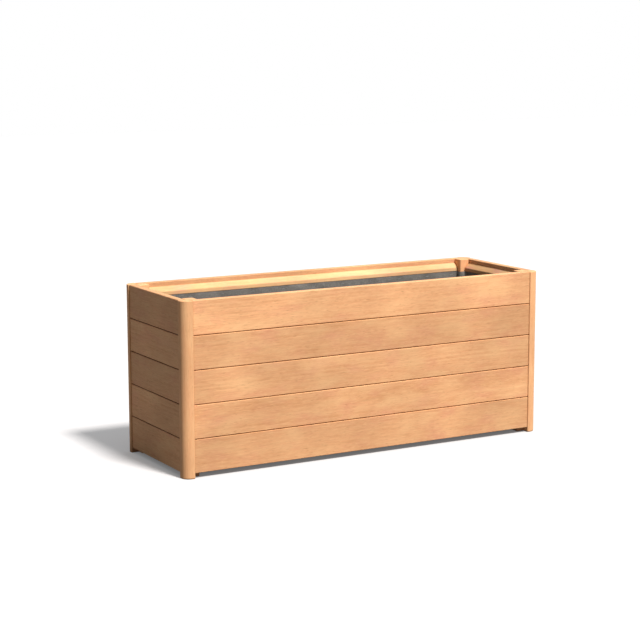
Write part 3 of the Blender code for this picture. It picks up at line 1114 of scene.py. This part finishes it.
@dataclass
class ClothLiner:
    """The geotextile liner: cut with four flaps, sewn up and stapled to the strips' tails.

    Attributes:
        chamber: The space it lines.
        cell: Size of its mesh's cells in metres.
        thickness: Thickness of the felt.
        gap: How far it starts from the timber, before it settles.
        touch: How far the middle of its thickness lies from timber that it rests on.
        rim_drop: How far its edge stays below the step over the tails.
        staple_pitch: Distance between staples.
        staple_drop: How far the staples sit below the cloth's edge.
        press: How far they press into the felt.
        batten_ramp: Run over which it climbs onto a batten.
        floor_ramp: Run of the floor that moves in with it there.
        post_ramp: Height over which it closes up to the posts, below the tails.
        slack: How much cloth it has to spare, as a share.
        frames: Steps of the hanging.
        form: Half the thickness of the blocks that it settles against.
        friction: How the timber holds it.
        crease: Sharpest fold that still shades smoothly, in degrees.
        stapled: Where its staples go.
    """

    chamber: Chamber
    cell: float = 0.0115
    thickness: float = 0.0012
    gap: float = 0.0045
    touch: float = 0.0010
    rim_drop: float = 0.4 * MILLIMETRE
    staple_pitch: float = 0.105
    staple_drop: float = 0.010
    press: float = 0.15 * MILLIMETRE
    batten_ramp: float = 0.030
    floor_ramp: float = 0.090
    post_ramp: float = 0.030
    slack: float = 0.022
    frames: int = 36
    form: float = 0.05
    friction: float = 12.0
    crease: float = 60.0
    stapled: list[Matrix] = field(default_factory=list)

    def build(self) -> None:
        """Make the liner, let it settle, dress it and staple it."""
        liner = self.sewn()
        self.settle(liner)
        self.thicken(liner)
        staples = Staples().build([self.pressed(liner, place) for place in self.stapled])
        self.finish(liner, staples)

    def plan(self) -> tuple[np.ndarray, list[tuple[int, ...]], list[int]]:
        """Lay out the floor in plan, with notches round the posts.

        Returns:
            The floor's points, its cells, and its edge as one loop of points.
        """
        room = self.chamber
        far_x, near_x = room.length - self.gap, room.post_x - self.gap
        far_y, near_y = room.width - self.gap, room.post_y - self.gap
        xs = rule([-far_x, -near_x, 0.0, near_x, far_x], self.cell)
        ys = rule([-far_y, -near_y, 0.0, near_y, far_y], self.cell)
        index = {}
        cells = []
        for i, (x0, x1) in enumerate(zip(xs, xs[1:])):
            for j, (y0, y1) in enumerate(zip(ys, ys[1:])):
                if abs(x0 + x1) / 2 > near_x and abs(y0 + y1) / 2 > near_y:
                    continue
                corners = ((i, j), (i + 1, j), (i + 1, j + 1), (i, j + 1))
                cells.append(tuple(index.setdefault(c, len(index)) for c in corners))
        points = np.array([(xs[i], ys[j]) for i, j in index])
        # A side that no neighbour runs back along is on the edge
        sides = {(c[k], c[(k + 1) % 4]) for c in cells for k in range(4)}
        follow = {a: b for a, b in sides if (b, a) not in sides}
        start = min(follow)
        loop = [start]
        while follow[loop[-1]] != start:
            loop.append(follow[loop[-1]])
        return points, cells, loop

    def ring(self, edge: np.ndarray, level: float) -> np.ndarray:
        """Carry the floor's edge up to one level, and in towards the tails.

        Args:
            edge: The edge's points in plan.
            level: The height to carry it to.

        Returns:
            The cloth's points at that height.
        """
        room = self.chamber
        rise = min(1.0, (level - room.floor) / (room.tail_foot - room.floor))
        held = float(ease(np.array((level - room.tail_foot + self.post_ramp) / self.post_ramp)))
        near_out = held * (self.gap - self.touch)
        far_in = rise * (room.tail + self.touch - self.gap)
        moved = np.empty((len(edge), 3))
        for axis, far, near in ((0, room.length, room.post_x), (1, room.width, room.post_y)):
            was = [0.0, near - self.gap, far - self.gap]
            now = [0.0, near - self.gap + near_out, far - self.gap - far_in]
            places = edge[:, axis]
            moved[:, axis] = np.sign(places) * np.interp(np.abs(places), was, now)
        moved[:, 2] = level
        moved[:, 1] += self.push(moved, room.width - self.gap - far_in)
        return moved

    def push(self, places: np.ndarray, wall: float) -> np.ndarray:
        """How far the cloth moves in across the box to clear the battens.

        Args:
            places: The cloth's points, all at one level.
            wall: Where the cloth hangs along the long walls at that level.

        Returns:
            A distance along Y for each point.
        """
        room = self.chamber
        depth = max(0.0, wall - (room.batten_y - self.gap))
        beside = ease(1 - (np.abs(places[:, 0]) - room.batten_half) / self.batten_ramp)
        below = ease((room.tail_foot - places[:, 2]) / (room.tail_foot - room.batten_head))
        inward = ease(1 - (wall - np.abs(places[:, 1])) / self.floor_ramp)
        return -np.sign(places[:, 1]) * depth * beside * below * inward

    def sewn(self) -> Piece:
        """Sew up the bag, a little clear of the timber all round.

        Returns:
            The bag, whose edge and stapled points are in the group that holds it.
        """
        room = self.chamber
        points, cells, loop = self.plan()
        floor = room.floor + self.gap
        rim = room.lip - self.rim_drop
        stapled = rim - self.staple_drop
        levels = rule([floor, room.tail_foot, stapled, rim], self.cell)[1:]
        base = np.column_stack([points, np.full(len(points), floor)])
        base[:, 1] += self.push(base, room.width - self.gap)
        rows = [base]
        faces = list(cells)
        count, first = len(loop), len(points)
        below = list(loop)
        held = []
        for level in levels:
            above = list(range(first, first + count))
            rows.append(self.ring(points[loop], level))
            for k in range(count):
                after = (k + 1) % count
                faces.append((below[after], below[k], above[k], above[after]))
            if abs(level - stapled) < self.cell / 10:
                for k in self.staples(rows[-1]):
                    held += [above[k - 1], above[k], above[(k + 1) % count]]
            below = above
            first += count
        held += below
        mesh = bpy.data.meshes.new("cloth_liner")
        mesh.from_pydata(np.concatenate(rows).tolist(), [], faces)
        liner = bpy.data.objects.new("cloth_liner", mesh)
        bpy.context.scene.collection.objects.link(liner)
        liner.vertex_groups.new(name="held").add(held, 1.0, "REPLACE")
        return liner

    def staples(self, ring: np.ndarray) -> list[int]:
        """Choose the stapled points of one ring of the cloth, and keep the staples' places.

        Args:
            ring: The ring's points, with the inside of the box on their left.

        Returns:
            The points' numbers in the ring.
        """
        steps = np.linalg.norm(np.roll(ring, -1, axis=0) - ring, axis=1)
        run = np.concatenate([[0.0], np.cumsum(steps)[:-1]])
        count = round(steps.sum() / self.staple_pitch)
        wanted = (np.arange(count) + 0.5) * steps.sum() / count
        along = np.roll(ring, -1, axis=0) - np.roll(ring, 1, axis=0)
        along /= np.linalg.norm(along, axis=1)[:, None]
        flat = np.abs(along).max(axis=1) > STRAIGHT
        straight = np.flatnonzero(flat & np.roll(flat, 1) & np.roll(flat, -1))
        chosen = sorted({int(straight[np.abs(run[straight] - at).argmin()]) for at in wanted})
        for number in chosen:
            x_axis = Vector(along[number])
            z_axis = Vector((0.0, 0.0, 1.0)).cross(x_axis)
            turn = Matrix((x_axis, z_axis.cross(x_axis), z_axis)).transposed().to_4x4()
            face = Vector(ring[number]) + z_axis * self.thickness / 2
            self.stapled.append(Matrix.Translation(face) @ turn)
        return chosen

    def settle(self, liner: Piece) -> None:
        """Let the cloth hang against the timber under its own weight.

        Args:
            liner: The sewn bag.
        """
        forms = self.forms()
        select_only(liner)
        cloth = liner.modifiers.new("hang", "CLOTH")
        sheet = cloth.settings
        for name, value in HANG.items():
            setattr(sheet, name, value)
        sheet.vertex_group_mass = "held"
        sheet.shrink_min = -self.slack
        touch = cloth.collision_settings
        touch.collision_quality = 3
        touch.distance_min = self.touch
        cloth.point_cache.frame_start = 1
        cloth.point_cache.frame_end = self.frames
        for step in range(1, self.frames + 1):
            bpy.context.scene.frame_set(step)
        bpy.ops.object.modifier_apply(modifier=cloth.name)
        bpy.context.scene.frame_set(1)
        for form in forms:
            bpy.data.objects.remove(form, do_unlink=True)

    def forms(self) -> list[Piece]:
        """Put plain blocks where the timber is, for the cloth to lie against.

        Returns:
            The blocks.
        """
        room, deep = self.chamber, self.form
        length, width, depth = 2 * room.length, 2 * room.width, 2 * deep
        middle, height = (room.floor + room.lip) / 2, room.lip - room.floor + depth
        tail, tail_middle = room.lip - room.tail_foot, (room.lip + room.tail_foot) / 2
        tail_x, tail_y = room.length - room.tail + deep, room.width - room.tail + deep
        batten = room.batten_head - room.floor
        blocks = [((0, 0, room.floor - deep), (length, width, depth))]
        for side in (-1, 1):
            blocks += [
                ((0, side * (room.width + deep), middle), (length, depth, height)),
                ((side * (room.length + deep), 0, middle), (depth, width, height)),
                ((0, side * tail_y, tail_middle), (length, depth, tail)),
                ((side * tail_x, 0, tail_middle), (depth, width, tail)),
                ((0, side * (room.batten_y + deep), room.floor + batten / 2),
                 (2 * room.batten_half, depth, batten)),
            ]
            blocks += [
                ((end * (room.post_x + deep), side * (room.post_y + deep), middle),
                 (depth, depth, height))
                for end in (-1, 1)
            ]
        made = []
        for place, size in blocks:
            bpy.ops.object.select_all(action="DESELECT")
            bpy.ops.mesh.primitive_cube_add(size=1.0, location=place, scale=size)
            form = bpy.context.active_object
            form.modifiers.new("form", "COLLISION")
            form.collision.thickness_outer = self.touch
            form.collision.cloth_friction = self.friction
            made.append(form)
        return made

    def pressed(self, liner: Piece, place: Matrix) -> Matrix:
        """Move a staple's place onto the settled cloth's face, pressed in a little.

        Args:
            liner: The settled cloth.
            place: The staple's place on the cloth as sewn.

        Returns:
            Its place on the settled cloth.
        """
        out = place.col[2].xyz
        start = place.translation + out * self.cell * 3
        hit, face, _, _ = liner.ray_cast(start, -out)
        depth = (face - place.translation).dot(out) if hit else 0.0
        return Matrix.Translation(out * (depth - self.press)) @ place

    def thicken(self, liner: Piece) -> None:
        """Round the cloth's folds and give it its thickness.

        Args:
            liner: The settled cloth.
        """
        select_only(liner)
        curved = liner.modifiers.new("curved", "SUBSURF")
        curved.levels = curved.render_levels = 1
        bpy.ops.object.modifier_apply(modifier=curved.name)
        thick = liner.modifiers.new("felt", "SOLIDIFY")
        thick.thickness = self.thickness
        thick.offset = 0.0
        bpy.ops.object.modifier_apply(modifier=thick.name)
        bpy.ops.object.shade_smooth_by_angle(angle=math.radians(self.crease))
        bpy.context.view_layer.update()

    def finish(self, liner: Piece, staples: Piece) -> None:
        """Args:
            liner: The settled cloth.
            staples: The staples through its edge. Not used.
        """
        liner.vertex_groups.clear()
        liner.data.materials.append(Geotextile().material())
        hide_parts("liner")
        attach(liner, BODY)
        LOG.info("made %s with %d faces", liner.name, len(liner.data.polygons))


@dataclass(frozen=True)
class Viewpoint:
    """The camera, where it stood for the photograph.

    Attributes:
        place: Where it stands.
        turn: How it is turned, in degrees.
        focal_length: Its lens in millimetres.
        sensor: Width of its sensor in millimetres.
    """

    place: Point = (-2.57107, -4.42827, 1.22640)
    turn: Point = (80.5095, 0.1057, -29.6075)
    focal_length: float = 97.44
    sensor: float = 36.0

    def build(self) -> None:
        """Set up the camera and look through it."""
        lens = bpy.data.cameras.new("viewpoint")
        lens.lens = self.focal_length
        lens.sensor_width = self.sensor
        camera = bpy.data.objects.new("viewpoint", lens)
        bpy.context.scene.collection.objects.link(camera)
        camera.location = self.place
        camera.rotation_euler = [math.radians(angle) for angle in self.turn]
        bpy.context.scene.camera = camera
        LOG.info("placed the camera")


@dataclass(frozen=True)
class Studio:
    """A pale floor, one soft key light from the front and above, and an even fill.

    Attributes:
        key_travel: The way that the key light goes, from its shadow on the floor.
        key_strength: Its strength.
        key_spread: How soft it is: its width in degrees.
        key_colour: Its colour.
        fill_colour: Colour of the light from all round.
        fill_strength: Its strength.
        floor_size: Side of the floor.
        floor_drop: How far the floor stays below the feet.
        floor_bounce: Colour of the floor as the object's sides see it.
        floor_seen: Colour of the floor as the camera sees it.
        floor_lift: Light added to the floor where the camera sees it.
        open_lift: Light added besides where nothing stands over the floor.
        nearby: How near a thing has to be to stand over it.
    """

    key_travel: Point = (-0.070, 0.327, -0.500)
    key_strength: float = 4.95
    key_spread: float = 9.5
    key_colour: str = "fffaf5"
    fill_colour: str = "f4f8ff"
    fill_strength: float = 0.15
    floor_size: float = 30.0
    floor_drop: float = 0.1 * MILLIMETRE
    floor_bounce: str = "6e6e6e"
    floor_seen: str = "c5c5c7"
    floor_lift: float = 0.12
    open_lift: float = 0.20
    nearby: float = 0.30

    def build(self) -> None:
        """Set up the light and the floor."""
        bpy.context.scene.view_settings.view_transform = "Standard"
        sun = bpy.data.lights.new("key_light", "SUN")
        sun.energy = self.key_strength
        sun.angle = math.radians(self.key_spread)
        sun.color = linear(self.key_colour)[:3]
        lamp = bpy.data.objects.new("key_light", sun)
        bpy.context.scene.collection.objects.link(lamp)
        lamp.rotation_euler = Vector(self.key_travel).to_track_quat("-Z", "Y").to_euler()
        self.surround()
        self.floor()
        LOG.info("lit the studio")

    def seen(self, tree: Tree) -> Socket:
        """Tell what is looked at from what only lights other things.

        Args:
            tree: The node tree of the floor or of the world.

        Returns:
            One where the camera, a gloss or a glass looks, and zero for light that bounces.
        """
        path = add(tree, "LightPath", {})
        seen = path.outputs["Is Camera Ray"]
        for look in ("Is Glossy Ray", "Is Transmission Ray"):
            either = add(tree, "Math", {0: seen, 1: path.outputs[look]}, operation="MAXIMUM")
            seen = either.outputs[0]
        return seen

    def surround(self) -> None:
        """Light from all round, behind a white backdrop."""
        world = bpy.data.worlds.new("studio")
        world.use_nodes = True
        bpy.context.scene.world = world
        tree = world.node_tree
        tree.nodes.clear()
        fill = add(
            tree, "Background",
            {"Color": linear(self.fill_colour), "Strength": self.fill_strength},
        )
        white = add(tree, "Background", {"Color": linear("ffffff"), "Strength": 1.0})
        both = add(tree, "MixShader", {0: self.seen(tree), 1: fill.outputs[0], 2: white.outputs[0]})
        add(tree, "OutputWorld", {"Surface": both.outputs[0]})

    def floor(self) -> None:
        """A matt sheet, white where it is seen, which keeps the box's shadow."""
        bpy.ops.object.select_all(action="DESELECT")
        bpy.ops.mesh.primitive_plane_add(
            size=self.floor_size, location=(0.0, 0.0, -self.floor_drop)
        )
        floor = bpy.context.active_object
        floor.name = "studio_floor"
        material = bpy.data.materials.new("matt_white_sheet")
        material.use_nodes = True
        tree = material.node_tree
        tree.nodes.clear()
        seen = self.seen(tree)
        colour = layered(tree, linear(self.floor_bounce), [(seen, self.floor_seen)])
        matt = add(tree, "BsdfDiffuse", {"Color": colour})
        # Painted light: the floor glows where the camera sees it, and less where things stand near
        # over it, a painted shade round the box
        openness = add(tree, "AmbientOcclusion", {"Distance": self.nearby}, samples=16)
        even = add(
            tree, "Math",
            {0: openness.outputs["AO"], 1: self.open_lift, 2: self.floor_lift},
            operation="MULTIPLY_ADD",
        )
        lift = add(tree, "Math", {0: seen, 1: even.outputs[0]}, operation="MULTIPLY")
        glow = add(tree, "Emission", {"Strength": lift.outputs[0]})
        both = add(tree, "AddShader", {0: matt.outputs[0], 1: glow.outputs[0]})
        add(tree, "OutputMaterial", {"Surface": both.outputs[0]})
        floor.data.materials.append(material)


def main() -> None:
    """Build and dress the planter box in its studio."""
    logging.basicConfig(level=logging.INFO, format="%(message)s")
    Viewpoint().build()
    Studio().build()
    Posts().dress()
    Walls().dress()
    Strips().dress()
    Base().dress()
    Screws().build()
    ClothLiner(Chamber.measured()).build()


if __name__ == "__main__":
    main()
